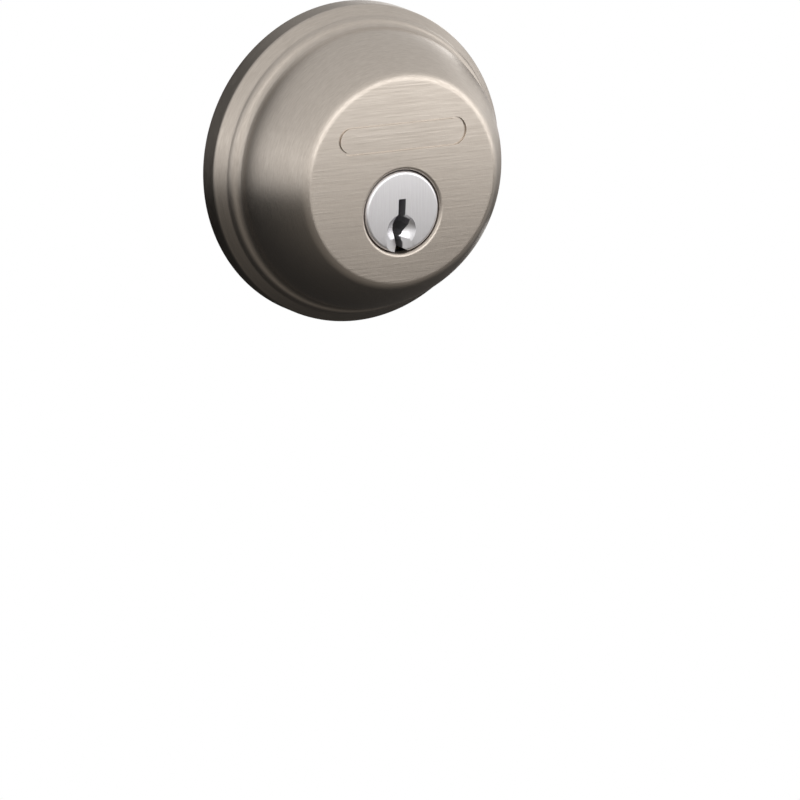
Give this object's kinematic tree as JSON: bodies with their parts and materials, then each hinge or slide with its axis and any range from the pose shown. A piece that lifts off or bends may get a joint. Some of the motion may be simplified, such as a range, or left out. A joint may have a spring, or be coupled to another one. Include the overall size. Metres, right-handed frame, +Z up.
{
  "type": "deadbolt door lock",
  "caption": "Single cylinder deadbolt: domed outside trim with a pin tumbler plug, a sliding bolt with its face plate, and an inside rose with a thumbturn.",
  "frame": {"origin": "centre of the door's cross bore in the plane of the door's outside face, where the outside rose rests", "axes": "+Y along the cross bore from the outside trim to the inside trim, +X towards the door's edge and the bolt's throw, +Z up"},
  "size_m": [0.0928, 0.1006, 0.065],
  "materials": {
    "satin_nickel": "satin nickel plate, brushed with fine lines, warm grey",
    "plug_nickel": "bright nickel with fine upright brushing",
    "brass": "machined brass, unplated",
    "bolt_brass": "nickel plated brass, satin",
    "zinc_steel": "zinc plated steel",
    "hardened_steel": "hardened steel with a dark oxide",
    "spring_steel": "spring wire and strip",
    "nylon": "natural nylon"
  },
  "bodies": {
    "root": {"outer_housing": "satin_nickel", "face_plate": "satin_nickel", "face_plate_screw_upper": "satin_nickel", "face_plate_screw_lower": "satin_nickel", "inside_rose": "satin_nickel", "cylinder_body": "brass", "chamber_cover": "brass", "driver_pin_1": "brass", "driver_spring_1": "spring_steel", "driver_pin_2": "brass", "driver_spring_2": "spring_steel", "driver_pin_3": "brass", "driver_spring_3": "spring_steel", "driver_pin_4": "brass", "driver_spring_4": "spring_steel", "driver_pin_5": "brass", "driver_spring_5": "spring_steel", "cylinder_screw_left": "zinc_steel", "cylinder_screw_right": "zinc_steel", "bolt_tube": "zinc_steel", "bolt_case": "zinc_steel", "back_plate": "zinc_steel", "support_plate": "zinc_steel", "mounting_bolt_upper": "zinc_steel", "mounting_bolt_lower": "zinc_steel", "guard_plate": "hardened_steel", "anti_drill_pin_left": "hardened_steel", "anti_drill_pin_right": "hardened_steel", "wave_washer": "spring_steel", "thumbturn_bushing": "nylon"},
    "thumbturn": {"thumbturn": "satin_nickel", "tailpiece": "zinc_steel", "bolt_cam": "zinc_steel", "retaining_ring": "hardened_steel"},
    "plug": {"plug": "plug_nickel", "plug_cap": "brass", "plug_cap_pin": "hardened_steel", "key_pin_1": "brass", "key_pin_2": "brass", "key_pin_3": "brass", "key_pin_4": "brass", "key_pin_5": "brass"},
    "bolt": {"bolt": "bolt_brass", "bolt_link": "zinc_steel", "link_rivet": "zinc_steel"},
    "roller": {"roller_pin": "hardened_steel"}
  },
  "joints": [
    {"name": "thumbturn_turn", "type": "hinge", "parent": "root", "child": "thumbturn", "pos_m": [0, 0.0575, -0.0061], "axis": [0, 1, 0], "range_deg": [0, 90]},
    {"name": "plug_turn", "type": "hinge", "parent": "root", "child": "plug", "pos_m": [0, -0.0231, -0.0061], "axis": [0, 1, 0], "range_deg": [0, 90]},
    {"name": "bolt_throw", "type": "slide", "parent": "root", "child": "bolt", "axis": [1, 0, 0], "range_m": [0, 0.0254]},
    {"name": "roller_spin", "type": "hinge", "parent": "bolt", "child": "roller", "pos_m": [0.045, 0.02223, 0], "axis": [1, 0, 0], "continuous": true}
  ],
  "couplings": [
    {"joint": "plug_turn", "follows": "thumbturn_turn", "ratio": 1},
    {"joint": "bolt_throw", "follows": "thumbturn_turn", "m_per_rad": 0.01617}
  ]
}
